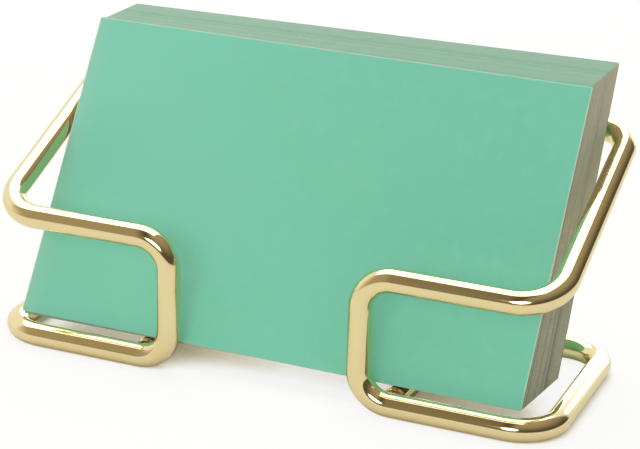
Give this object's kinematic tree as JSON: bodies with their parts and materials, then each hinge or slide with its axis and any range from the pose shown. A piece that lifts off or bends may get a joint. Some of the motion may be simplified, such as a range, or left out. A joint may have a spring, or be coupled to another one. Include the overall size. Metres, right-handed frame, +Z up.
{
  "type": "business card holder stand",
  "caption": "Desk stand bent from polished round wire, with foot loops, open front bars and a rear rail, holding a leaning pack of plain cards that lift out.",
  "frame": {"origin": "middle of the footprint, on the table that the wire stands on", "axes": "+X to the right along the cards' width, +Y to the back, +Z up"},
  "size_m": [0.1012, 0.0454, 0.0522],
  "materials": {
    "gold_wire": "mirror polished pale gold",
    "green_card": "smooth matt mint green"
  },
  "bodies": {
    "stand": {"wire_frame": "gold_wire"},
    "card_01": {"card_01": "green_card"},
    "card_02": {"card_02": "green_card"},
    "card_03": {"card_03": "green_card"},
    "card_04": {"card_04": "green_card"},
    "card_05": {"card_05": "green_card"},
    "card_06": {"card_06": "green_card"},
    "card_07": {"card_07": "green_card"},
    "card_08": {"card_08": "green_card"},
    "card_09": {"card_09": "green_card"},
    "card_10": {"card_10": "green_card"},
    "card_11": {"card_11": "green_card"},
    "card_12": {"card_12": "green_card"},
    "card_13": {"card_13": "green_card"},
    "card_14": {"card_14": "green_card"},
    "card_15": {"card_15": "green_card"},
    "card_16": {"card_16": "green_card"},
    "card_17": {"card_17": "green_card"},
    "card_18": {"card_18": "green_card"},
    "card_19": {"card_19": "green_card"},
    "card_20": {"card_20": "green_card"},
    "card_21": {"card_21": "green_card"},
    "card_22": {"card_22": "green_card"},
    "card_23": {"card_23": "green_card"},
    "card_24": {"card_24": "green_card"},
    "card_25": {"card_25": "green_card"},
    "card_26": {"card_26": "green_card"},
    "card_27": {"card_27": "green_card"},
    "card_28": {"card_28": "green_card"}
  },
  "joints": [
    {"name": "card_01_slide", "type": "slide", "parent": "stand", "child": "card_01", "axis": [0, 0.515, 0.8572], "range_m": [0, 0.055]},
    {"name": "card_02_slide", "type": "slide", "parent": "stand", "child": "card_02", "axis": [0, 0.5138, 0.8579], "range_m": [0, 0.055]},
    {"name": "card_03_slide", "type": "slide", "parent": "stand", "child": "card_03", "axis": [0, 0.5125, 0.8587], "range_m": [0, 0.055]},
    {"name": "card_04_slide", "type": "slide", "parent": "stand", "child": "card_04", "axis": [0, 0.5113, 0.8594], "range_m": [0, 0.055]},
    {"name": "card_05_slide", "type": "slide", "parent": "stand", "child": "card_05", "axis": [0, 0.51, 0.8601], "range_m": [0, 0.055]},
    {"name": "card_06_slide", "type": "slide", "parent": "stand", "child": "card_06", "axis": [0, 0.5088, 0.8609], "range_m": [0, 0.055]},
    {"name": "card_07_slide", "type": "slide", "parent": "stand", "child": "card_07", "axis": [0, 0.5075, 0.8616], "range_m": [0, 0.055]},
    {"name": "card_08_slide", "type": "slide", "parent": "stand", "child": "card_08", "axis": [0, 0.5063, 0.8624], "range_m": [0, 0.055]},
    {"name": "card_09_slide", "type": "slide", "parent": "stand", "child": "card_09", "axis": [0, 0.505, 0.8631], "range_m": [0, 0.055]},
    {"name": "card_10_slide", "type": "slide", "parent": "stand", "child": "card_10", "axis": [0, 0.5038, 0.8638], "range_m": [0, 0.055]},
    {"name": "card_11_slide", "type": "slide", "parent": "stand", "child": "card_11", "axis": [0, 0.5025, 0.8646], "range_m": [0, 0.055]},
    {"name": "card_12_slide", "type": "slide", "parent": "stand", "child": "card_12", "axis": [0, 0.5013, 0.8653], "range_m": [0, 0.055]},
    {"name": "card_13_slide", "type": "slide", "parent": "stand", "child": "card_13", "axis": [0, 0.5, 0.866], "range_m": [0, 0.055]},
    {"name": "card_14_slide", "type": "slide", "parent": "stand", "child": "card_14", "axis": [0, 0.4987, 0.8668], "range_m": [0, 0.055]},
    {"name": "card_15_slide", "type": "slide", "parent": "stand", "child": "card_15", "axis": [0, 0.4975, 0.8675], "range_m": [0, 0.055]},
    {"name": "card_16_slide", "type": "slide", "parent": "stand", "child": "card_16", "axis": [0, 0.4962, 0.8682], "range_m": [0, 0.055]},
    {"name": "card_17_slide", "type": "slide", "parent": "stand", "child": "card_17", "axis": [0, 0.495, 0.8689], "range_m": [0, 0.055]},
    {"name": "card_18_slide", "type": "slide", "parent": "stand", "child": "card_18", "axis": [0, 0.4937, 0.8696], "range_m": [0, 0.055]},
    {"name": "card_19_slide", "type": "slide", "parent": "stand", "child": "card_19", "axis": [0, 0.4924, 0.8704], "range_m": [0, 0.055]},
    {"name": "card_20_slide", "type": "slide", "parent": "stand", "child": "card_20", "axis": [0, 0.4912, 0.8711], "range_m": [0, 0.055]},
    {"name": "card_21_slide", "type": "slide", "parent": "stand", "child": "card_21", "axis": [0, 0.4899, 0.8718], "range_m": [0, 0.055]},
    {"name": "card_22_slide", "type": "slide", "parent": "stand", "child": "card_22", "axis": [0, 0.4886, 0.8725], "range_m": [0, 0.055]},
    {"name": "card_23_slide", "type": "slide", "parent": "stand", "child": "card_23", "axis": [0, 0.4874, 0.8732], "range_m": [0, 0.055]},
    {"name": "card_24_slide", "type": "slide", "parent": "stand", "child": "card_24", "axis": [0, 0.4861, 0.8739], "range_m": [0, 0.055]},
    {"name": "card_25_slide", "type": "slide", "parent": "stand", "child": "card_25", "axis": [0, 0.4848, 0.8746], "range_m": [0, 0.055]},
    {"name": "card_26_slide", "type": "slide", "parent": "stand", "child": "card_26", "axis": [0, 0.4835, 0.8753], "range_m": [0, 0.055]},
    {"name": "card_27_slide", "type": "slide", "parent": "stand", "child": "card_27", "axis": [0, 0.4823, 0.876], "range_m": [0, 0.055]},
    {"name": "card_28_slide", "type": "slide", "parent": "stand", "child": "card_28", "axis": [0, 0.481, 0.8767], "range_m": [0, 0.055]}
  ]
}
